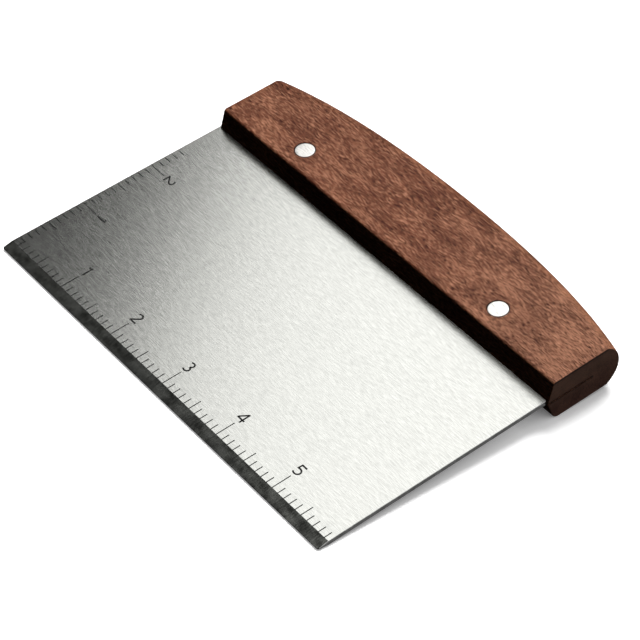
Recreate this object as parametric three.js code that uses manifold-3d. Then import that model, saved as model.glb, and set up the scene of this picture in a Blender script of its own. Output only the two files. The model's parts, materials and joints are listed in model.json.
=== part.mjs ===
// Bench scraper: a riveted steel blade in a sawn hardwood handle. Millimetres, +Z up.
//
// The pieces are drawn in the blade's own frame: X along the blade's width, Y from the edge
// towards the handle with 0 at the top of the bevel, and Z up from the blade's middle plane.
// The whole is then tilted to the attitude in which it lies on a bench, resting on the bevel's
// lower corner and on the handle's lower front round, with the origin under its centre.

import * as THREE from 'three';
import { mergeVertices } from 'three/addons/utils/BufferGeometryUtils.js';
import Module from 'manifold-3d';

// ---- driving dimensions ----

const bladeWidth = 152;
const bladeThickness = 1.6;
const bladeReach = 76.7; // from the top of the bevel to the handle's front
const bevelRun = 3.6; // width of each ground face of the V edge
const edgeFlat = 0.3; // thickness left at the very edge
const bladeCornerRadius = 0.8;
const tangDepth = 16; // how far the blade goes into the handle

const handleLength = 152.2;
const handleShift = 0.8; // the handle's middle lies this far to the right of the blade's
const handleThickness = 14.5;
const handleDepth = 35.5; // front to back at mid length
const endDrop = 8.5; // how much shallower the handle is above the blade's sides
const quarticShare = 0.31; // share of the drop that grows with the fourth power
const frontLean = THREE.MathUtils.degToRad(18); // each half of the front face slopes back
const frontTopRadius = 1; // rounding of the front face's upper edge
const frontUnderRadius = 2.5; // and of its lower edge
const backRadius = 8; // rounding of the back, a little more than half the thickness
const endEase = 0.2; // rounding of the edges around both ends
const kerfLine = 0.5; // height of the sawn slot where it shows in the right end

const rivetSpacing = 89;
const rivetShift = 0.5; // the rivets' middle lies this far to the right of the blade's
const rivetInset = 9.5; // from the handle's front to the rivets' axes
const headRadius = 3.1;
const headThickness = 1.3;
const headEdge = 0.2; // broken edge around the head
const tubeRadius = 2.1;
const tubeBoreRadius = 1.4;
const shankRadius = 1.1;

const gap = 0.3; // clearance between neighbouring pieces

// ---- fineness of the curves ----

const turnSegments = 32; // around a rivet or its holes
const cornerSegments = 4; // around a corner of the blade
const roundSegments = 7; // around each rounded edge of the handle
const handleSteps = 34; // cross-sections along the handle, an even number
const easeSteps = 2; // of which this many go around each eased end

// ---- derived dimensions ----

const halfBlade = bladeThickness / 2;
const halfHandle = handleThickness / 2;
const kerfDepth = tangDepth + gap;
const rivetY = bladeReach + rivetInset;
const rivetX = { left: rivetShift - rivetSpacing / 2, right: rivetShift + rivetSpacing / 2 };
const overrun = 2; // how far a cutting shape passes the surface it cuts

// Centre of the round on one edge of the front face: how far it lies behind the handle's front
// and from its middle plane.
function roundCentre(radius) {
  const away = halfHandle - radius;
  return { y: (radius + away * Math.sin(frontLean)) / Math.cos(frontLean), away };
}

const topRound = roundCentre(frontTopRadius);
const underRound = roundCentre(frontUnderRadius);

// ---- materials ----

const brushedSteel = new THREE.MeshStandardMaterial({
  color: 0xc9cac8,
  roughness: 0.35,
  metalness: 1,
});
const hardwood = new THREE.MeshStandardMaterial({
  color: 0x7c4a34,
  roughness: 0.6,
  metalness: 0,
});
const polishedSteel = new THREE.MeshStandardMaterial({
  color: 0xdedede,
  roughness: 0.18,
  metalness: 1,
});

// ---- solids ----

const wasm = await Module();
wasm.setup();

// A closed body, without the slivers that a turned profile leaves on its axis.
function toSolid(geometry) {
  const bare = geometry.clone();
  bare.deleteAttribute('normal');
  bare.deleteAttribute('uv');
  const merged = mergeVertices(bare);
  const corners = merged.index.array;
  const triangles = [];
  for (let i = 0; i < corners.length; i += 3) {
    const [a, b, c] = corners.slice(i, i + 3);
    if (a !== b && b !== c && c !== a) {
      triangles.push(a, b, c);
    }
  }
  return new wasm.Manifold(new wasm.Mesh({
    numProp: 3,
    vertProperties: Float32Array.from(merged.attributes.position.array),
    triVerts: Uint32Array.from(triangles),
  }));
}

function toGeometry(solid) {
  const mesh = solid.getMesh();
  const geometry = new THREE.BufferGeometry();
  geometry.setAttribute('position', new THREE.BufferAttribute(mesh.vertProperties, 3));
  geometry.setIndex(new THREE.BufferAttribute(mesh.triVerts, 1));
  geometry.computeVertexNormals();
  return geometry;
}

// Turns an extrusion of a (Y, Z) outline, which three.js makes along Z, to run along X.
function alongX(geometry) {
  const axes = new THREE.Matrix4().makeBasis(
    new THREE.Vector3(0, 1, 0),
    new THREE.Vector3(0, 0, 1),
    new THREE.Vector3(1, 0, 0),
  );
  return geometry.applyMatrix4(axes);
}

// Spins a profile of [radius, height] points about Z.
function turned(profile) {
  const points = profile.map(([radius, height]) => new THREE.Vector2(radius, height));
  return new THREE.LatheGeometry(points, turnSegments).rotateX(Math.PI / 2);
}

// ---- blade ----

// The blade's cross-section: a flat plate with a symmetric V edge.
function bladeSection() {
  const shape = new THREE.Shape();
  shape.moveTo(-bevelRun, -edgeFlat / 2);
  shape.lineTo(0, -halfBlade);
  shape.lineTo(bladeReach + tangDepth, -halfBlade);
  shape.lineTo(bladeReach + tangDepth, halfBlade);
  shape.lineTo(0, halfBlade);
  shape.lineTo(-bevelRun, edgeFlat / 2);
  shape.closePath();
  return shape;
}

// The blade seen from above, with rounded front corners.
function bladePlan() {
  const left = -bladeWidth / 2;
  const right = bladeWidth / 2;
  const back = bladeReach + tangDepth + overrun;
  const cornerY = bladeCornerRadius - bevelRun;
  const shape = new THREE.Shape();
  shape.absarc(left + bladeCornerRadius, cornerY, bladeCornerRadius, Math.PI, 1.5 * Math.PI);
  shape.absarc(right - bladeCornerRadius, cornerY, bladeCornerRadius, 1.5 * Math.PI, 2 * Math.PI);
  shape.lineTo(right, back);
  shape.lineTo(left, back);
  shape.closePath();
  return shape;
}

// The hole in the tang for one rivet.
function tangCut(x) {
  const bore = tubeRadius + gap;
  const cut = turned([[0, -overrun], [bore, -overrun], [bore, overrun], [0, overrun]]);
  return cut.translate(x, rivetY, 0);
}

function bladeGeometry() {
  const plate = alongX(new THREE.ExtrudeGeometry(bladeSection(), {
    depth: bladeWidth + 2 * overrun,
    bevelEnabled: false,
  }));
  plate.translate(-bladeWidth / 2 - overrun, 0, 0);
  const plan = new THREE.ExtrudeGeometry(bladePlan(), {
    depth: bladeThickness + 2 * overrun,
    bevelEnabled: false,
    curveSegments: cornerSegments,
  });
  plan.translate(0, 0, -halfBlade - overrun);
  let solid = toSolid(plate).intersect(toSolid(plan));
  for (const x of Object.values(rivetX)) {
    solid = solid.subtract(toSolid(tangCut(x)));
  }
  return toGeometry(solid);
}

// ---- handle ----

// The handle's cross-section at mid length, with Y from its front: a front face in two leaning
// halves with rounded edges, flat upper and lower faces, and a round back that meets them at a
// soft edge.
function handleSection() {
  const backTurn = Math.asin(halfHandle / backRadius);
  const shape = new THREE.Shape();
  shape.absarc(underRound.y, -underRound.away, frontUnderRadius, Math.PI + frontLean, 1.5 * Math.PI);
  shape.absarc(handleDepth - backRadius, 0, backRadius, -backTurn, backTurn);
  shape.absarc(topRound.y, topRound.away, frontTopRadius, 0.5 * Math.PI, Math.PI - frontLean);
  shape.lineTo(0, 0);
  shape.closePath();
  return shape;
}

// How far the back of the handle lies forward of its deepest point, which is behind the middle
// of the blade, at a distance x from there.
function backDrop(x) {
  const share = x / (bladeWidth / 2);
  return endDrop * ((1 - quarticShare) * share ** 2 + quarticShare * share ** 4);
}

// Where one of the bar's cross-sections lies along X, and how far its outline is drawn in there:
// the sections follow a quarter circle around each end and are evenly spaced between.
function station(index) {
  const fromEnd = Math.min(index, handleSteps - index);
  const turn = Math.min(fromEnd / easeSteps, 1) * Math.PI / 2;
  const straight = handleLength / 2 - endEase;
  const share = (fromEnd - easeSteps) / (handleSteps / 2 - easeSteps);
  const fromMiddle = fromEnd < easeSteps
    ? straight + endEase * Math.cos(turn)
    : straight * (1 - share);
  return {
    x: handleShift + (index < handleSteps / 2 ? -fromMiddle : fromMiddle),
    inset: endEase * (1 - Math.sin(turn)),
  };
}

// The bar, with its ends eased and its back bent to the crowned outline.
function handleBlank() {
  const blank = alongX(new THREE.ExtrudeGeometry(handleSection(), {
    depth: handleSteps,
    steps: handleSteps,
    curveSegments: roundSegments,
    bevelEnabled: false,
  }));
  const position = blank.attributes.position;
  const middle = handleDepth / 2;
  for (let i = 0; i < position.count; i += 1) {
    const { x, inset } = station(Math.round(position.getX(i)));
    const y = middle + (position.getY(i) - middle) * (1 - inset / middle);
    const z = position.getZ(i) * (1 - inset / halfHandle);
    const drop = position.getY(i) > middle ? backDrop(x) : 0;
    position.setXYZ(i, x, bladeReach + y - drop, z);
  }
  return blank;
}

// One length of the slot that takes the tang.
function kerfCut(from, to, height) {
  const depth = kerfDepth + overrun;
  const kerf = new THREE.BoxGeometry(to - from, depth, height);
  return kerf.translate((from + to) / 2, bladeReach + kerfDepth - depth / 2, 0);
}

// The stepped hole for one rivet: a narrow bore with a wider seat for a head at each face.
function rivetCut(x) {
  const bore = tubeRadius + gap;
  const seat = headRadius + gap;
  const floor = halfHandle - headThickness - gap;
  const mouth = halfHandle + overrun;
  const cut = turned([
    [0, -mouth],
    [seat, -mouth],
    [seat, -floor],
    [bore, -floor],
    [bore, floor],
    [seat, floor],
    [seat, mouth],
    [0, mouth],
  ]);
  return cut.translate(x, rivetY, 0);
}

// The slot runs out at the left end, where the tang is flush with the wood. At the right end,
// which stands proud of the tang, it closes to a fine line.
function handleGeometry() {
  const leftEnd = -bladeWidth / 2 - overrun;
  const rightEnd = handleShift + handleLength / 2 + overrun;
  let solid = toSolid(handleBlank());
  solid = solid.subtract(toSolid(kerfCut(leftEnd, bladeWidth / 2 + gap, bladeThickness + 2 * gap)));
  solid = solid.subtract(toSolid(kerfCut(0, rightEnd, kerfLine)));
  for (const x of Object.values(rivetX)) {
    solid = solid.subtract(toSolid(rivetCut(x)));
  }
  return toGeometry(solid);
}

// ---- rivets ----

// The tubular half: a flush head on the upper face and a tube that reaches almost to the lower
// head.
function femaleRivetGeometry() {
  const headUnder = halfHandle - headThickness;
  const tubeEnd = gap - headUnder;
  return turned([
    [0, headUnder],
    [tubeBoreRadius, headUnder],
    [tubeBoreRadius, tubeEnd],
    [tubeRadius, tubeEnd],
    [tubeRadius, headUnder],
    [headRadius, headUnder],
    [headRadius, halfHandle - headEdge],
    [headRadius - headEdge, halfHandle],
    [0, halfHandle],
  ]);
}

// The solid half: a flush head on the lower face and a shank inside the tube.
function maleRivetGeometry() {
  const headUnder = headThickness - halfHandle;
  const shankEnd = -headUnder - gap;
  return turned([
    [0, -halfHandle],
    [headRadius - headEdge, -halfHandle],
    [headRadius, headEdge - halfHandle],
    [headRadius, headUnder],
    [shankRadius, headUnder],
    [shankRadius, shankEnd],
    [0, shankEnd],
  ]);
}

// ---- assembly ----

function piece(name, geometry, material) {
  const mesh = new THREE.Mesh(geometry, material.clone());
  mesh.name = name;
  return mesh;
}

// Angle between the blade and the bench: the tangent from the bevel's lower corner to the
// handle's lower front round.
function restTilt() {
  const along = bladeReach + underRound.y;
  const below = underRound.away - halfBlade;
  return Math.atan2(below, along) + Math.asin(frontUnderRadius / Math.hypot(along, below));
}

const tilted = new THREE.Group();
tilted.rotation.x = restTilt();
tilted.add(piece('blade', bladeGeometry(), brushedSteel));
tilted.add(piece('handle', handleGeometry(), hardwood));
for (const [side, x] of Object.entries(rivetX)) {
  const female = piece(`rivet_${side}_female`, femaleRivetGeometry(), polishedSteel);
  const male = piece(`rivet_${side}_male`, maleRivetGeometry(), polishedSteel);
  female.position.set(x, rivetY, 0);
  male.position.set(x, rivetY, 0);
  tilted.add(female, male);
}

const benchScraper = new THREE.Group();
benchScraper.add(tilted);

// Moves the origin to the middle of the underside of the bounding box.
const box = new THREE.Box3().setFromObject(benchScraper, true);
const centre = box.getCenter(new THREE.Vector3());
tilted.position.set(-centre.x, -centre.y, -box.min.z);

export default benchScraper;
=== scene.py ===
"""Looks for the bench scraper: a brushed steel blade with etched inch rules, riveted into a
reddish brown hardwood handle, lying on a plain white bench."""

import json
import math

import bmesh
import bpy
from mathutils import Matrix, Vector, noise


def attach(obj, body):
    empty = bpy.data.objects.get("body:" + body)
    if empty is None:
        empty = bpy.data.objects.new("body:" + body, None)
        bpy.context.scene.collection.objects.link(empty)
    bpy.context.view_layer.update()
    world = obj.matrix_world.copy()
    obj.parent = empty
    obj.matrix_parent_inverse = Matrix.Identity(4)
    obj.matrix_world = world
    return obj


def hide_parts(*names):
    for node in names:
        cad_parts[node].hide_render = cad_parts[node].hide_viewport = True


MM = 0.001

# ---- sizes in the blade's own frame, in millimetres ----
# X along the width, Y from the top of the bevel to the handle, Z up from the middle plane.

BLADE_WIDTH = 152.0
BLADE_THICKNESS = 1.6
BLADE_REACH = 76.7
BEVEL_RUN = 3.6
EDGE_FLAT = 0.3
CORNER_RADIUS = 0.8
TANG_DEPTH = 16.0
BLADE_BREAK = 0.1  # taken off the edges of both sides
CORNER_STEPS = 8

HANDLE_LENGTH = 152.2
HANDLE_SHIFT = 0.8
HANDLE_THICKNESS = 14.5
HANDLE_DEPTH = 35.5
END_DROP = 8.5
QUARTIC_SHARE = 0.31
FRONT_LEAN = math.radians(18)
FRONT_TOP_RADIUS = 1.0
FRONT_UNDER_RADIUS = 2.5
BACK_RADIUS = 8.0
END_EASE = 0.2
FRONT_STEPS = 10
BACK_STEPS = 40
EASE_STEPS = 8
HANDLE_STEPS = 110
EDGE_WEAR = 0.12  # the most that wear takes off the handle's front edges
WEAR_DEPTH = 5.0  # how far back from its front it is worn
WEAR_PITCH = (0.12, 0.3, 0.3)  # how fast the wear changes along X, Y and Z
KERF_DEPTH = 16.3
KERF_HEIGHT = 1.7
KERF_LINE = 0.5  # height of the slot where it shows in the right end

RIVET_X = (-44.0, 45.0)
RIVET_Y = BLADE_REACH + 9.5
HEAD_RADIUS = 3.1
HEAD_THICKNESS = 1.3
HEAD_EDGE = 0.18
HEAD_SUNK = 0.02
HEAD_CROWN = ((0.0, 0.0), (1.2, 0.003), (2.2, 0.012))  # drop at each radius
RIM_DROP = 0.03
RIM_STEPS = 6
SEAT_RADIUS = 3.4
TUBE_RADIUS = 2.1
TUBE_BORE = 1.4
SHANK_RADIUS = 1.1
RIVET_FIT = 0.05
RIVET_END_GAP = 0.3
TURNED_STEPS = 72

INCH = 25.4
RULE_START = -75.6
FRONT_TENTHS = 59
SIDE_TENTHS = 24
SIDE_INSET = -75.35
MARK_WIDTH = 0.32
MARK_LENGTHS = (6.45, 4.15, 2.6)
PEN = 0.54
FIGURE_HEIGHT = 4.0
FIGURE_BASE = 7.45
FIGURE_WIDEN = 1.14
MARK_PROUD = 0.012
MARK_SUNK = 0.05

# Cutting shapes reach this far past what they cut.
PAST = 5.0
KERF_PAST_BLADE = 0.1

# The middle of the handle's upper face, which the record's mount also gives.
HANDLE_TOP = Vector((0.45, 92.9, HANDLE_THICKNESS / 2)) * MM


# ---- colours, as linear red, green and blue with full cover ----

BRUSHED_DARK = (0.545, 0.55, 0.52, 1)
BRUSHED_LIGHT = (0.755, 0.76, 0.72, 1)
BRUSHED_SMUDGE = (0.52, 0.52, 0.50, 1)
# The bevel's steel is far darker than the sides': painted shade for the dark surroundings it
# reflects.
BEVEL_SHADED_DARK = (0.055, 0.056, 0.050, 1)
BEVEL_SHADED_LIGHT = (0.27, 0.277, 0.255, 1)
SIDE_DARK = (0.46, 0.46, 0.45, 1)
SIDE_LIGHT = (0.72, 0.72, 0.71, 1)
ETCH_DARK = (0.006, 0.006, 0.006, 1)
ETCH_LIGHT = (0.018, 0.018, 0.017, 1)
RIVET_DARK = (0.80, 0.78, 0.73, 1)
RIVET_LIGHT = (0.90, 0.885, 0.84, 1)

WOOD_BAND_DARK = (0.118, 0.033, 0.015, 1)
WOOD_BAND_LIGHT = (0.205, 0.065, 0.032, 1)
WOOD_BLOTCH = (0.27, 0.099, 0.050, 1)
WOOD_PALE_END = (0.43, 0.20, 0.115, 1)
WOOD_FIBRE = (0.095, 0.027, 0.013, 1)
WOOD_FLECK = (0.50, 0.225, 0.125, 1)
WOOD_PORE = (0.024, 0.006, 0.003, 1)
# End grain, with painted shade towards its bottom and painted light towards its top.
WOOD_END_GRAIN_SHADED = (0.034, 0.007, 0.005, 1)
WOOD_END_GRAIN_LIT = (0.115, 0.066, 0.045, 1)
# Painted shade for the slot and the eased top edge of the ends.
WOOD_PAINTED_SHADE = (0.010, 0.003, 0.002, 1)

BENCH_DARK = (0.93, 0.93, 0.93, 1)
BENCH_LIGHT = (0.95, 0.95, 0.95, 1)
WHITE = (1, 1, 1, 1)


# ---- frame ----

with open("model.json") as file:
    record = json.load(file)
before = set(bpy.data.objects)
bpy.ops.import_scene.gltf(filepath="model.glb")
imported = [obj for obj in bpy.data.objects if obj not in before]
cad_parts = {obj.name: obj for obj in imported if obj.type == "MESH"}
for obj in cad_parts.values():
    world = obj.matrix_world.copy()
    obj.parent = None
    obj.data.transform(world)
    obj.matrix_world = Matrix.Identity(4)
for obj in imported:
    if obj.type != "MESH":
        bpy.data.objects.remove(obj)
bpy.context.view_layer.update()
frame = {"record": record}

mount = next(m for m in frame["record"]["mounts"] if m["name"] == "handle_top")
TILT = Matrix.Rotation(math.atan2(-mount["axis"][1], mount["axis"][2]), 4, "X")
PLACE = Matrix.Translation(Vector(mount["pos_m"]) - TILT @ HANDLE_TOP) @ TILT


# ---- camera ----

CAMERA_TARGET = Vector((0.005224, -0.001765, 0.0))
CAMERA_AZIMUTH = math.radians(51.152)
CAMERA_ELEVATION = math.radians(42.923)
CAMERA_ROLL = math.radians(1.029)
CAMERA_DISTANCE = 0.76203
CAMERA_LENS = 147.96
CAMERA_SENSOR = 36
CAMERA_CLIP = 0.01

camera_data = bpy.data.cameras.new("camera")
camera = bpy.data.objects.new("camera", camera_data)
bpy.context.scene.collection.objects.link(camera)
bpy.context.scene.camera = camera
camera_data.lens = CAMERA_LENS
camera_data.sensor_width = CAMERA_SENSOR
camera_data.clip_start = CAMERA_CLIP
back = Vector((
    math.sin(CAMERA_AZIMUTH) * math.cos(CAMERA_ELEVATION),
    -math.cos(CAMERA_AZIMUTH) * math.cos(CAMERA_ELEVATION),
    math.sin(CAMERA_ELEVATION),
))
camera.location = CAMERA_TARGET + back * CAMERA_DISTANCE
camera.rotation_euler = (
    (-back).to_track_quat("-Z", "Y").to_matrix() @ Matrix.Rotation(CAMERA_ROLL, 3, "Z")
).to_euler()


# ---- node helpers ----

def new_material(name):
    """A material with an empty node tree."""
    material = bpy.data.materials.new(name)
    material.use_nodes = True
    material.node_tree.nodes.clear()
    return material


def add(tree, kind, inputs=None, **settings):
    """Adds a node. Inputs are values, or output sockets to link."""
    node = tree.nodes.new(kind)
    for key, value in settings.items():
        setattr(node, key, value)
    for key, value in (inputs or {}).items():
        if isinstance(value, bpy.types.NodeSocket):
            tree.links.new(value, node.inputs[key])
        else:
            node.inputs[key].default_value = value
    return node


def blade_place(tree):
    """The point being shaded, in the blade's own frame, in metres."""
    return add(
        tree, "ShaderNodeMapping",
        {"Vector": add(tree, "ShaderNodeTexCoord").outputs["Object"],
         "Location": PLACE.translation, "Rotation": PLACE.to_euler()},
        vector_type="TEXTURE",
    ).outputs[0]


def math_node(tree, operation, first, second=0.0):
    return add(tree, "ShaderNodeMath", {0: first, 1: second}, operation=operation).outputs[0]


def spread(tree, value, low, high, to_low=0.0, to_high=1.0):
    """Maps low..high to to_low..to_high, clamped, with a smooth start and end."""
    return add(
        tree, "ShaderNodeMapRange",
        {"Value": value, "From Min": low, "From Max": high, "To Min": to_low, "To Max": to_high},
        interpolation_type="SMOOTHSTEP",
    ).outputs[0]


def mix_colour(tree, factor, first, second):
    """Mixes two colours. The node's colour sockets share their names with those of its other
    kinds, so they are reached by number."""
    return add(tree, "ShaderNodeMix", {0: factor, 6: first, 7: second}, data_type="RGBA").outputs[2]


def stretched_noise(tree, coordinates, size_mm, detail=2.0, roughness=0.5, distortion=0.0,
                    turn=0.0, shift=0.0):
    """Noise whose features are about size_mm = (x, y, z) long, in a frame turned about Z by
    some degrees. Noises with different shifts don't repeat each other."""
    stretched = add(
        tree, "ShaderNodeMapping",
        {"Vector": coordinates, "Rotation": (0.0, 0.0, math.radians(turn)),
         "Scale": [1 / (size * MM) for size in size_mm], "Location": (shift, shift, shift)},
        vector_type="POINT",
    ).outputs[0]
    return add(
        tree, "ShaderNodeTexNoise",
        {"Vector": stretched, "Scale": 1.0, "Detail": detail, "Roughness": roughness,
         "Distortion": distortion},
    ).outputs[0]


def finish_material(tree, shader_inputs, height=None, distance=0.0):
    """Adds the surface shader, with bump from a height of 0 to 1 over a distance in metres."""
    inputs = dict(shader_inputs)
    if height is not None:
        inputs["Normal"] = add(
            tree, "ShaderNodeBump", {"Height": height, "Distance": distance, "Strength": 1.0},
        ).outputs[0]
    shader = add(tree, "ShaderNodeBsdfPrincipled", inputs)
    add(tree, "ShaderNodeOutputMaterial", {"Surface": shader.outputs[0]})


# ---- materials ----

def brushed_steel():
    """The blade's flat faces: fine straight brushing along X, with faint smudges."""
    material = new_material("brushed_steel")
    tree = material.node_tree
    place = blade_place(tree)
    strokes = stretched_noise(tree, place, (2.6, 0.30, 1.0), detail=2.0, roughness=0.6)
    hairs = stretched_noise(tree, place, (5.0, 0.16, 1.0), detail=2.0, roughness=0.6, turn=1.5,
                            shift=4.0)
    cloud = stretched_noise(tree, place, (9.0, 6.0, 6.0), detail=3.0, shift=9.0)
    height = math_node(tree, "ADD", strokes, math_node(tree, "MULTIPLY", hairs, 0.5))
    tone = spread(tree, height, 0.45, 1.05)
    base = mix_colour(tree, tone, BRUSHED_DARK, BRUSHED_LIGHT)
    base = mix_colour(tree, spread(tree, cloud, 0.35, 0.75, 0.0, 0.08), base, BRUSHED_SMUDGE)
    rough = spread(tree, hairs, 0.3, 0.7, 0.18, 0.23)
    tangent = add(tree, "ShaderNodeTangent", direction_type="UV_MAP", uv_map="grain").outputs[0]
    finish_material(
        tree,
        {"Base Color": base, "Metallic": 1.0, "Roughness": rough, "Anisotropic": 0.7,
         "Anisotropic Rotation": 0.25, "Tangent": tangent},
        height, 9.0e-6,
    )
    return material


def ground_steel(name, dark, light, metallic):
    """Steel ground across the blade, between two colours, with stains from the grinding."""
    material = new_material(name)
    tree = material.node_tree
    place = blade_place(tree)
    strokes = stretched_noise(tree, place, (0.25, 2.5, 2.5), detail=3.0, roughness=0.6)
    cloud = stretched_noise(tree, place, (5.0, 3.0, 3.0), detail=3.0, shift=3.0)
    tone = spread(tree, math_node(tree, "ADD", strokes, cloud), 0.7, 1.3)
    base = mix_colour(tree, tone, dark, light)
    rough = spread(tree, cloud, 0.3, 0.7, 0.13, 0.18)
    finish_material(
        tree,
        {"Base Color": base, "Metallic": metallic, "Roughness": rough},
        strokes, 2.0e-6,
    )
    return material


def etched_steel():
    """The rules' marks: a dark matt etch that still shows a trace of the brushing."""
    material = new_material("etched_steel")
    tree = material.node_tree
    place = blade_place(tree)
    grain = stretched_noise(tree, place, (0.6, 0.15, 1.0), detail=3.0)
    base = mix_colour(tree, spread(tree, grain, 0.3, 0.7), ETCH_DARK, ETCH_LIGHT)
    rough = spread(tree, grain, 0.3, 0.7, 0.42, 0.6)
    finish_material(tree, {"Base Color": base, "Roughness": rough, "Specular IOR Level": 0.25},
                    grain, 4.0e-6)
    return material


def polished_steel():
    """The rivet heads: bright, with the light scratches of sanding flush with the wood."""
    material = new_material("polished_steel")
    tree = material.node_tree
    place = blade_place(tree)
    scratches = stretched_noise(tree, place, (2.5, 0.12, 1.0), detail=3.0, turn=3.0)
    base = mix_colour(tree, spread(tree, scratches, 0.3, 0.7), RIVET_DARK, RIVET_LIGHT)
    rough = spread(tree, scratches, 0.3, 0.7, 0.24, 0.34)
    finish_material(tree, {"Base Color": base, "Metallic": 0.55, "Roughness": rough},
                    scratches, 1.0e-6)
    return material


def hardwood():
    """Reddish brown hardwood: streaks and short open pores along X, darker end grain, with painted
    light and painted shade on the ends.
    """
    material = new_material("hardwood")
    tree = material.node_tree
    place = blade_place(tree)
    turn = 2.5
    bands = stretched_noise(tree, place, (60.0, 2.2, 2.2), detail=4.0, roughness=0.6, turn=turn)
    blotches = stretched_noise(tree, place, (10.0, 3.6, 3.6), detail=4.0, roughness=0.65,
                               distortion=0.4, turn=turn, shift=5.0)
    fibres = stretched_noise(tree, place, (1.5, 0.24, 0.24), detail=5.0, roughness=0.8, turn=turn,
                             shift=11.0)
    pores = stretched_noise(tree, place, (1.9, 0.20, 0.20), detail=1.0, roughness=0.5, turn=turn,
                            shift=23.0)
    flecks = stretched_noise(tree, place, (2.2, 0.20, 0.20), detail=1.0, roughness=0.5,
                             turn=turn - 6.0, shift=31.0)
    patches = stretched_noise(tree, place, (14.0, 5.0, 5.0), detail=2.0, turn=turn, shift=47.0)
    crowding = spread(tree, patches, 0.3, 0.7, -0.05, 0.05)
    along, depth, up = add(tree, "ShaderNodeSeparateXYZ", {0: place}).outputs
    colour = mix_colour(tree, spread(tree, bands, 0.3, 0.7), WOOD_BAND_DARK, WOOD_BAND_LIGHT)
    colour = mix_colour(tree, spread(tree, blotches, 0.38, 0.66, 0.0, 0.75), colour, WOOD_BLOTCH)
    colour = mix_colour(tree, spread(tree, along, 0.0, 0.075, 0.0, 0.6), colour, WOOD_PALE_END)
    colour = mix_colour(tree, spread(tree, fibres, 0.40, 0.60, 0.0, 0.85), colour, WOOD_FIBRE)
    fleck = math_node(tree, "SUBTRACT", flecks, crowding)
    colour = mix_colour(tree, spread(tree, fleck, 0.54, 0.61, 0.0, 0.85), colour, WOOD_FLECK)
    pore = spread(tree, math_node(tree, "ADD", pores, crowding), 0.57, 0.62)
    colour = mix_colour(tree, math_node(tree, "MULTIPLY", pore, 0.9), colour, WOOD_PORE)
    normal = add(tree, "ShaderNodeTexCoord").outputs["Normal"]
    facing = add(tree, "ShaderNodeSeparateXYZ", {0: normal}).outputs[0]
    end = spread(tree, math_node(tree, "ABSOLUTE", facing), 0.6, 0.9)
    # The end grain is darker, and is painted lighter towards its top and darker towards its bottom:
    # painted light and painted shade.
    end_grain_lit_and_shaded = mix_colour(tree, spread(tree, up, -0.005, 0.006), WOOD_END_GRAIN_SHADED, WOOD_END_GRAIN_LIT)
    colour = mix_colour(tree, math_node(tree, "MULTIPLY", end, 0.7), colour, end_grain_lit_and_shaded)
    # Painted shade: the end grain is darkened beside its slot, for the shade inside the slot, and
    # along its top edge, for the shade of the eased edge.
    slot_end = (BLADE_REACH + KERF_DEPTH) * MM
    near_slot = spread(tree, math_node(tree, "ABSOLUTE", up), 0.0002, 0.0007, 0.85, 0.0)
    before_its_end = spread(tree, depth, slot_end, slot_end + MM, 1.0, 0.0)
    beside_slot = math_node(tree, "MULTIPLY", near_slot, before_its_end)
    top_edge = spread(tree, up, 0.0061, 0.0071, 0.0, 0.85)
    painted_shade = math_node(tree, "MULTIPLY", end, math_node(tree, "MAXIMUM", beside_slot, top_edge))
    colour = mix_colour(tree, painted_shade, colour, WOOD_PAINTED_SHADE)
    rough = math_node(tree, "ADD", spread(tree, fibres, 0.3, 0.7, 0.46, 0.58),
                      math_node(tree, "MULTIPLY", pore, 0.25))
    height = math_node(tree, "SUBTRACT", math_node(tree, "MULTIPLY", fibres, 0.35), pore)
    finish_material(tree, {"Base Color": colour, "Roughness": rough, "Specular IOR Level": 0.25},
                    height, 2.5e-5)
    return material


def bench_white():
    """The floor: a matt white. It glows a little, a painted glow though it is no lamp, which keeps
    the shadows light; the glow fades where something stands close over it, which paints shade under
    the object."""
    material = new_material("bench_white")
    tree = material.node_tree
    place = add(tree, "ShaderNodeTexCoord").outputs["Object"]
    grain = stretched_noise(tree, place, (30.0, 30.0, 30.0), detail=2.0)
    base = mix_colour(tree, grain, BENCH_DARK, BENCH_LIGHT)
    # Painted shade: the glow drops where the floor is hemmed in, under and beside the object.
    openness_for_painted_shade = add(tree, "ShaderNodeAmbientOcclusion", {"Distance": 0.01}, samples=8)
    painted_glow = math_node(tree, "MULTIPLY", openness_for_painted_shade.outputs["AO"], 0.64)
    finish_material(
        tree,
        {"Base Color": base, "Roughness": 0.9, "Specular IOR Level": 0.0,
         "Emission Color": WHITE, "Emission Strength": painted_glow},
    )
    return material


# ---- mesh helpers ----

def box_uv(mesh):
    """Unwraps by the way each face looks, in metres, with U along X wherever it can be."""
    layer = mesh.uv_layers.new(name="grain")
    for polygon in mesh.polygons:
        facing = [abs(c) for c in polygon.normal]
        axes = (1, 2) if facing[0] > 0.7 else (0, 1) if facing[2] >= facing[1] else (0, 2)
        for loop in polygon.loop_indices:
            point = mesh.vertices[mesh.loops[loop].vertex_index].co
            layer.data[loop].uv = (point[axes[0]], point[axes[1]])


def new_object(name, bm):
    """An object in the blade's frame from a bmesh in metres."""
    bmesh.ops.recalc_face_normals(bm, faces=bm.faces)
    mesh = bpy.data.meshes.new(name)
    bm.to_mesh(mesh)
    bm.free()
    piece = bpy.data.objects.new(name, mesh)
    bpy.context.scene.collection.objects.link(piece)
    return piece


def loft(name, rings):
    """A closed body through a row of cross-sections, each a ring of points in millimetres."""
    bm = bmesh.new()
    rows = [[bm.verts.new(Vector(point) * MM) for point in ring] for ring in rings]
    for near, far in zip(rows, rows[1:]):
        for i in range(len(near)):
            j = (i + 1) % len(near)
            bm.faces.new((near[i], near[j], far[j], far[i]))
    bm.faces.new(rows[0])
    bm.faces.new(rows[-1])
    return new_object(name, bm)


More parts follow.
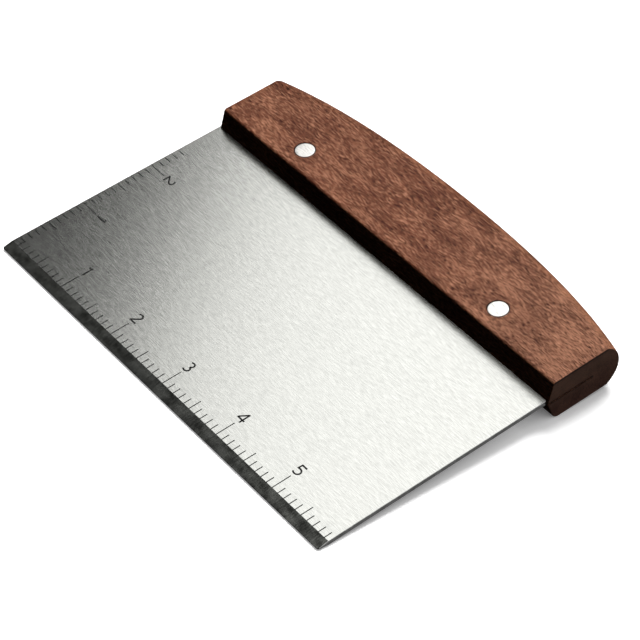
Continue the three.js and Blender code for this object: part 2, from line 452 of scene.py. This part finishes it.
def turned(name, profile, x, y):
    """A closed body of revolution about an axis along Z, from (radius, height) points whose
    first and last lie on the axis."""
    bm = bmesh.new()
    rows = []
    for radius, height in profile:
        if radius == 0:
            rows.append([bm.verts.new(Vector((x, y, height)) * MM)])
            continue
        angles = [2 * math.pi * k / TURNED_STEPS for k in range(TURNED_STEPS)]
        rows.append([
            bm.verts.new(Vector((x + radius * math.cos(a), y + radius * math.sin(a), height)) * MM)
            for a in angles
        ])
    for near, far in zip(rows, rows[1:]):
        for i in range(TURNED_STEPS):
            j = (i + 1) % TURNED_STEPS
            corners = [near[i % len(near)], near[j % len(near)], far[j % len(far)], far[i % len(far)]]
            bm.faces.new(list(dict.fromkeys(corners)))
    return new_object(name, bm)


def block(name, low, high):
    """A plain box, used only to cut with."""
    bm = bmesh.new()
    bmesh.ops.create_cube(bm, size=1.0)
    low, high = Vector(low) * MM, Vector(high) * MM
    for vertex in bm.verts:
        vertex.co = Vector(a if c < 0 else b for a, b, c in zip(low, high, vertex.co))
    return new_object(name, bm)


def carve(body, cutters):
    """Cuts the cutters out of body and removes them."""
    for cutter in cutters:
        modifier = body.modifiers.new("carve", "BOOLEAN")
        modifier.operation = "DIFFERENCE"
        modifier.solver = "EXACT"
        modifier.object = cutter
    graph = bpy.context.evaluated_depsgraph_get()
    mesh = bpy.data.meshes.new_from_object(body.evaluated_get(graph))
    body.modifiers.clear()
    body.data = mesh
    for cutter in cutters:
        bpy.data.objects.remove(cutter)


def dress(piece, materials, nodes=(), smooth=None):
    """Finishes a piece: its materials, shading, and place in the shared frame. smooth is the
    angle, in degrees, up to which its edges are shaded as rounds."""
    for material in materials:
        piece.data.materials.append(material)
    box_uv(piece.data)
    piece.data.transform(PLACE)
    if smooth is not None:
        piece.data.shade_smooth()
        piece.data.set_sharp_from_angle(angle=math.radians(smooth))
        weighted = piece.modifiers.new("weighted_normals", "WEIGHTED_NORMAL")
        weighted.keep_sharp = True
    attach(piece, "root")
    if nodes:
        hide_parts(*nodes)


def arc(centre, radius, start, end, steps):
    """Points along a circle from one angle to another, in radians."""
    angles = [start + (end - start) / steps * k for k in range(steps + 1)]
    return [(centre[0] + radius * math.cos(a), centre[1] + radius * math.sin(a)) for a in angles]


# ---- blade ----

def blade_ring(x):
    """The blade's cross-section at x, set back where the front corners are rounded."""
    from_side = BLADE_WIDTH / 2 - abs(x)
    into_corner = max(0.0, CORNER_RADIUS - from_side)
    setback = CORNER_RADIUS - math.sqrt(CORNER_RADIUS ** 2 - into_corner ** 2)
    half = BLADE_THICKNESS / 2
    tip = EDGE_FLAT / 2 + (half - EDGE_FLAT / 2) * setback / BEVEL_RUN
    trim = max(0.0, BLADE_BREAK - from_side)
    front = setback - BEVEL_RUN
    back_end = BLADE_REACH + TANG_DEPTH
    return [
        (x, front, -tip + trim), (x, 0, -half + trim), (x, back_end, -half + trim),
        (x, back_end, half - trim), (x, 0, half - trim), (x, front, tip - trim),
    ]


def make_blade(face_steel, bevel_steel, side_steel):
    """The blade, with its brushed faces, its ground bevels and sides, and its rivet holes."""
    half = BLADE_WIDTH / 2
    quarter = [
        half - CORNER_RADIUS * (1 - math.sin(math.pi / 2 * k / CORNER_STEPS))
        for k in range(CORNER_STEPS + 1)
    ]
    stations = sorted(set(quarter + [half - BLADE_BREAK]))
    rings = [blade_ring(-x) for x in reversed(stations)] + [blade_ring(x) for x in stations]
    blade = loft("blade_steel", rings)
    bore = TUBE_RADIUS + RIVET_FIT
    profile = [(0, -BLADE_THICKNESS), (bore, -BLADE_THICKNESS), (bore, BLADE_THICKNESS),
               (0, BLADE_THICKNESS)]
    carve(blade, [turned("rivet_hole", profile, x, RIVET_Y) for x in RIVET_X])
    dress(blade, [face_steel, bevel_steel, side_steel], ["blade"])
    # The wood's shaded front is nearly black, so it isn't lit by what the blade reflects.
    blade.visible_diffuse = False
    blade.visible_glossy = False
    # The faces are level in the blade's frame, the bevels slope by 10 degrees, and the rest
    # of its surface is steep.
    up = PLACE.to_3x3() @ Vector((0, 0, 1))
    for polygon in blade.data.polygons:
        level = abs(polygon.normal.dot(up))
        polygon.material_index = 0 if level > 0.9999 else 1 if level > 0.9 else 2
    return blade


# ---- etched rules ----

def pen_stroke(points, width):
    """The outline of a stroke along a line of points, mitred at its corners."""
    left, right = [], []
    for i, point in enumerate(points):
        here = Vector(point)
        before = (here - Vector(points[i - 1])).normalized() if i else None
        after = (Vector(points[i + 1]) - here).normalized() if i + 1 < len(points) else None
        along = ((before or after) + (after or before)).normalized()
        reach = width / 2 / max(0.5, along.dot(before or after))
        across = Vector((-along.y, along.x)) * reach
        left.append(here + across)
        right.append(here - across)
    return left, right


def figure_strokes(figure):
    """The pen strokes of a figure 4 mm tall, standing on y = 0 about x = 0."""
    top = FIGURE_HEIGHT
    rim = PEN / 2
    degrees = math.radians
    return {
        1: [
            [(0.15, 0.0), (0.15, top)],
            [(0.1, top - 0.22), (-0.8, top - 0.85)],
        ],
        2: [
            arc((-0.05, 2.85), 0.92, degrees(150), degrees(-28), 14)
            + [(-0.98, 0.42)],
            [(-1.25, rim), (1.15, rim)],
        ],
        3: [
            arc((-0.12, 2.93), 0.84, degrees(140), degrees(-80), 14),
            arc((-0.12, 1.17), 0.95, degrees(80), degrees(-142), 16),
        ],
        4: [
            [(0.55, 0.0), (0.55, top)],
            [(0.5, top - 0.15), (-1.15, 1.3)],
            [(-1.38, 1.17), (1.28, 1.17)],
        ],
        5: [
            [(1.0, top - rim), (-0.72, top - rim), (-0.84, 2.1)],
            arc((-0.16, 1.33), 1.1, degrees(118), degrees(-140), 18),
        ],
    }[figure]


def add_stroke(bm, points, width):
    """One etched stroke along a line of points on the blade, as a shallow closed body."""
    left, right = pen_stroke(points, width)
    top = BLADE_THICKNESS / 2 + MARK_PROUD
    bottom = BLADE_THICKNESS / 2 - MARK_SUNK
    corners = [
        [bm.verts.new(Vector((*point, z)) * MM) for point in side]
        for z in (top, bottom) for side in (left, right)
    ]
    upper_left, upper_right, lower_left, lower_right = corners
    for i in range(len(points) - 1):
        j = i + 1
        bm.faces.new((upper_left[i], upper_right[i], upper_right[j], upper_left[j]))
        bm.faces.new((lower_left[i], lower_left[j], lower_right[j], lower_right[i]))
        bm.faces.new((upper_left[i], upper_left[j], lower_left[j], lower_left[i]))
        bm.faces.new((upper_right[i], lower_right[i], lower_right[j], upper_right[j]))
    for k in (0, -1):
        bm.faces.new((upper_left[k], lower_left[k], lower_right[k], upper_right[k]))


def mark_length(tenth):
    """Whole inches are longest, halves shorter, and tenths shortest."""
    return MARK_LENGTHS[0 if tenth % 10 == 0 else 1 if tenth % 5 == 0 else 2]


def make_rule(name, tenths, place, steel):
    """A rule in inches and tenths. place turns a mark's distance along the rule, and a point
    of the mark as (to its right, up from the edge), into (x, y) on the blade."""
    bm = bmesh.new()
    for tenth in range(1, tenths + 1):
        along = tenth * INCH / 10
        add_stroke(bm, [place(along, 0.0, 0.0), place(along, 0.0, mark_length(tenth))], MARK_WIDTH)
        if tenth % 10 == 0:
            for stroke in figure_strokes(tenth // 10):
                points = [place(along, FIGURE_WIDEN * x, FIGURE_BASE + y) for x, y in stroke]
                add_stroke(bm, points, PEN)
    dress(new_object(name, bm), [steel])


# ---- handle ----

def back_drop(x):
    """How far the handle's back lies forward of its deepest point, at a distance x from it."""
    share = x / (BLADE_WIDTH / 2)
    return END_DROP * ((1 - QUARTIC_SHARE) * share ** 2 + QUARTIC_SHARE * share ** 4)


def handle_section():
    """The handle's cross-section at mid length, as (y, z) with y from its front."""
    half = HANDLE_THICKNESS / 2
    quarter = math.pi / 2
    back_turn = math.asin(half / BACK_RADIUS)

    def front_round(radius, side, start, end):
        away = half - radius
        back = (radius + away * math.sin(FRONT_LEAN)) / math.cos(FRONT_LEAN)
        return arc((back, side * away), radius, start, end, FRONT_STEPS)

    return (
        front_round(FRONT_UNDER_RADIUS, -1, math.pi + FRONT_LEAN, 3 * quarter)
        + arc((HANDLE_DEPTH - BACK_RADIUS, 0.0), BACK_RADIUS, -back_turn, back_turn, BACK_STEPS)
        + front_round(FRONT_TOP_RADIUS, 1, quarter, math.pi - FRONT_LEAN)
        + [(0.0, 0.0)]
    )


def handle_ring(section, x, inset):
    """The handle's outline at x, drawn in by inset, with a little wear along its edges."""
    middle = HANDLE_DEPTH / 2
    half = HANDLE_THICKNESS / 2
    drop = back_drop(x)
    ring = []
    for y, z in section:
        wear = 0.0
        if y < WEAR_DEPTH:
            spot = Vector(c * pitch for c, pitch in zip((x, y, z), WEAR_PITCH))
            wear = EDGE_WEAR * max(0.0, noise.noise(spot))
        y_scale = 1 - (inset + wear) / middle
        z_scale = 1 - (inset + wear) / half
        ring.append((
            x,
            BLADE_REACH + middle + (y - middle) * y_scale - (drop if y > middle else 0.0),
            z * z_scale,
        ))
    return ring


def handle_stations():
    """Where the outlines lie along X and how far each is drawn in: round at both ends."""
    straight = HANDLE_LENGTH / 2 - END_EASE
    turns = [math.pi / 2 * k / EASE_STEPS for k in range(EASE_STEPS)]
    eased = [
        (straight + END_EASE * math.cos(turn), END_EASE * (1 - math.sin(turn))) for turn in turns
    ]
    between = [(straight * (2 * k / HANDLE_STEPS - 1), 0.0) for k in range(HANDLE_STEPS + 1)]
    left = [(-x, inset) for x, inset in eased]
    return [(HANDLE_SHIFT + x, inset) for x, inset in left + between + eased[::-1]]


def make_handle(wood):
    """The handle, with the slot for the tang and the seats for the rivets."""
    section = handle_section()
    handle = loft("handle_wood", [handle_ring(section, x, inset) for x, inset in handle_stations()])
    far = BLADE_WIDTH / 2
    depth = BLADE_REACH + KERF_DEPTH
    cutters = [
        block("kerf", (-far - PAST, BLADE_REACH - PAST, -KERF_HEIGHT / 2),
              (far + KERF_PAST_BLADE, depth, KERF_HEIGHT / 2)),
        block("kerf_line", (0, BLADE_REACH - PAST, -KERF_LINE / 2),
              (far + PAST, depth, KERF_LINE / 2)),
    ]
    mouth = HANDLE_THICKNESS / 2 + PAST
    floor = HANDLE_THICKNESS / 2 - HEAD_THICKNESS
    bore = TUBE_RADIUS + RIVET_FIT
    for x in RIVET_X:
        profile = [(0, -mouth), (SEAT_RADIUS, -mouth), (SEAT_RADIUS, -floor), (bore, -floor),
                   (bore, floor), (SEAT_RADIUS, floor), (SEAT_RADIUS, mouth), (0, mouth)]
        cutters.append(turned("rivet_hole", profile, x, RIVET_Y))
    carve(handle, cutters)
    dress(handle, [wood], ["handle"], smooth=32)


# ---- rivets ----

def head_profile(side):
    """A flush head with a rounded rim, from its centre to under its rim. side is 1 for the
    upper face and -1 for the lower."""
    face = HANDLE_THICKNESS / 2 - HEAD_SUNK
    crown = [(radius, face - drop) for radius, drop in HEAD_CROWN]
    rim_centre = (HEAD_RADIUS - HEAD_EDGE, face - HEAD_EDGE - RIM_DROP)
    rim = arc(rim_centre, HEAD_EDGE, math.pi / 2, 0, RIM_STEPS)
    under = HANDLE_THICKNESS / 2 - HEAD_THICKNESS + RIVET_FIT
    return [(r, side * z) for r, z in crown + rim + [(HEAD_RADIUS, under)]]


def make_rivets(steel):
    """Both halves of each rivet: a tube under the upper head, and a shank on the lower one."""
    under = HANDLE_THICKNESS / 2 - HEAD_THICKNESS + RIVET_FIT
    tube_end = RIVET_END_GAP - under
    shank_end = under - RIVET_END_GAP
    for side, x in zip(("left", "right"), RIVET_X):
        tube = [(TUBE_RADIUS, under), (TUBE_RADIUS, tube_end), (TUBE_BORE, tube_end),
                (TUBE_BORE, under), (0.0, under)]
        upper = turned(f"rivet_{side}_tube", head_profile(1) + tube, x, RIVET_Y)
        dress(upper, [steel], [f"rivet_{side}_female"], smooth=40)
        shank = [(SHANK_RADIUS, -under), (SHANK_RADIUS, shank_end), (0.0, shank_end)]
        lower = turned(f"rivet_{side}_shank", head_profile(-1) + shank, x, RIVET_Y)
        dress(lower, [steel], [f"rivet_{side}_male"], smooth=40)


# ---- studio ----

BENCH_HALF_WIDTH = 6.0
BENCH_CLEARANCE = 0.00002
KEY_DIRECTION = Vector((-0.32, 0.45, 0.83))
KEY_STRENGTH = 4.0
KEY_SPREAD = math.radians(30)
CARD_DISTANCE = 2.0
BACKDROP_STRENGTH = 1.05


def make_floor():
    """A plain white bench. Only the camera sees it, so that it doesn't light the object's
    shaded sides from below."""
    bm = bmesh.new()
    bmesh.ops.create_grid(bm, x_segments=1, y_segments=1, size=BENCH_HALF_WIDTH)
    floor = new_object("bench", bm)
    floor.location = (0, 0, -BENCH_CLEARANCE)
    floor.data.materials.append(bench_white())
    floor.visible_diffuse = False
    floor.visible_glossy = False


def make_key():
    """The soft key light, which shades the wood and casts the shadow on the bench."""
    data = bpy.data.lights.new("key", "SUN")
    data.energy = KEY_STRENGTH
    data.angle = KEY_SPREAD
    key = bpy.data.objects.new("key", data)
    bpy.context.scene.collection.objects.link(key)
    key.rotation_euler = KEY_DIRECTION.to_track_quat("Z", "Y").to_euler()
    key.visible_glossy = False


def make_card(name, direction, size, radiance, edge_towards=(0, 0, 1)):
    """A soft box that is seen only as a reflection. Its radiance is the same at any size, and
    edge_towards says which way its first side runs."""
    data = bpy.data.lights.new(name, "AREA")
    data.shape = "RECTANGLE"
    data.size, data.size_y = size
    data.energy = radiance * math.pi * size[0] * size[1]
    card = bpy.data.objects.new(name, data)
    bpy.context.scene.collection.objects.link(card)
    direction = Vector(direction).normalized()
    along = Vector(edge_towards)
    along = (along - direction * along.dot(direction)).normalized()
    up = direction.cross(along)
    turn = Matrix((along, up, direction)).transposed().to_4x4()
    card.matrix_world = Matrix.Translation(direction * CARD_DISTANCE) @ turn
    card.visible_diffuse = False
    card.visible_camera = False
    return card


def make_world():
    """A dim studio, a little brighter to the right and white where the camera looks past the
    bench."""
    world = bpy.data.worlds.new("studio")
    bpy.context.scene.world = world
    world.use_nodes = True
    tree = world.node_tree
    tree.nodes.clear()
    direction = add(tree, "ShaderNodeTexCoord").outputs["Generated"]
    axes = add(tree, "ShaderNodeSeparateXYZ", {0: direction})
    right = spread(tree, axes.outputs[0], 0.0, 1.0, 0.015, 0.6)
    front = spread(tree, axes.outputs[1], -0.3, 0.1, 0.04, 1.0)
    above = spread(tree, axes.outputs[2], -0.4, 0.1, 0.45, 1.0)
    strength = math_node(tree, "MULTIPLY", math_node(tree, "MULTIPLY", right, front), above)
    dim = add(tree, "ShaderNodeBackground", {"Color": WHITE, "Strength": strength})
    white = add(tree, "ShaderNodeBackground", {"Color": WHITE, "Strength": BACKDROP_STRENGTH})
    seen = add(tree, "ShaderNodeLightPath").outputs["Is Camera Ray"]
    both = add(tree, "ShaderNodeMixShader", {0: seen, 1: dim.outputs[0], 2: white.outputs[0]})
    add(tree, "ShaderNodeOutputWorld", {"Surface": both.outputs[0]})


# ---- assembly ----

blade = make_blade(
    brushed_steel(),
    # The bevel is a darkened copy of the ground steel: painted shade.
    ground_steel("bevel_steel", BEVEL_SHADED_DARK, BEVEL_SHADED_LIGHT, metallic=0.8),
    ground_steel("side_steel", SIDE_DARK, SIDE_LIGHT, metallic=1.0),
)
etched = etched_steel()
make_rule("rule_front", FRONT_TENTHS, lambda along, x, y: (RULE_START + along + x, y), etched)
make_rule("rule_side", SIDE_TENTHS, lambda along, x, y: (SIDE_INSET + y, along - x), etched)
make_handle(hardwood())
make_rivets(polished_steel())

make_floor()
make_key()
make_card("soft_box", TILT @ Vector((-0.240, 0.593, 0.770)), (1.975, 2.4), 1.49,
          edge_towards=TILT @ Vector((0.936, 0.352, 0.019)))
# These fill the blade's reflections when it is seen from elsewhere, and light nothing else.
fills = [
    make_card("soft_box_above", (0.25, -0.2, 0.95), (1.5, 1.8), 0.8),
    make_card("soft_box_front", (0.4, -0.85, 0.4), (1.3, 3.0), 0.8),
    make_card("soft_box_right", (0.97, 0.15, 0.3), (1.1, 1.6), 0.7),
    make_card("soft_box_left", (-0.95, -0.35, 0.25), (0.9, 1.4), 0.6),
]
lit_by_fills = bpy.data.collections.new("lit_by_fills")
lit_by_fills.objects.link(blade)
for fill in fills:
    fill.light_linking.receiver_collection = lit_by_fills
make_world()
bpy.context.scene.view_settings.view_transform = "Standard"
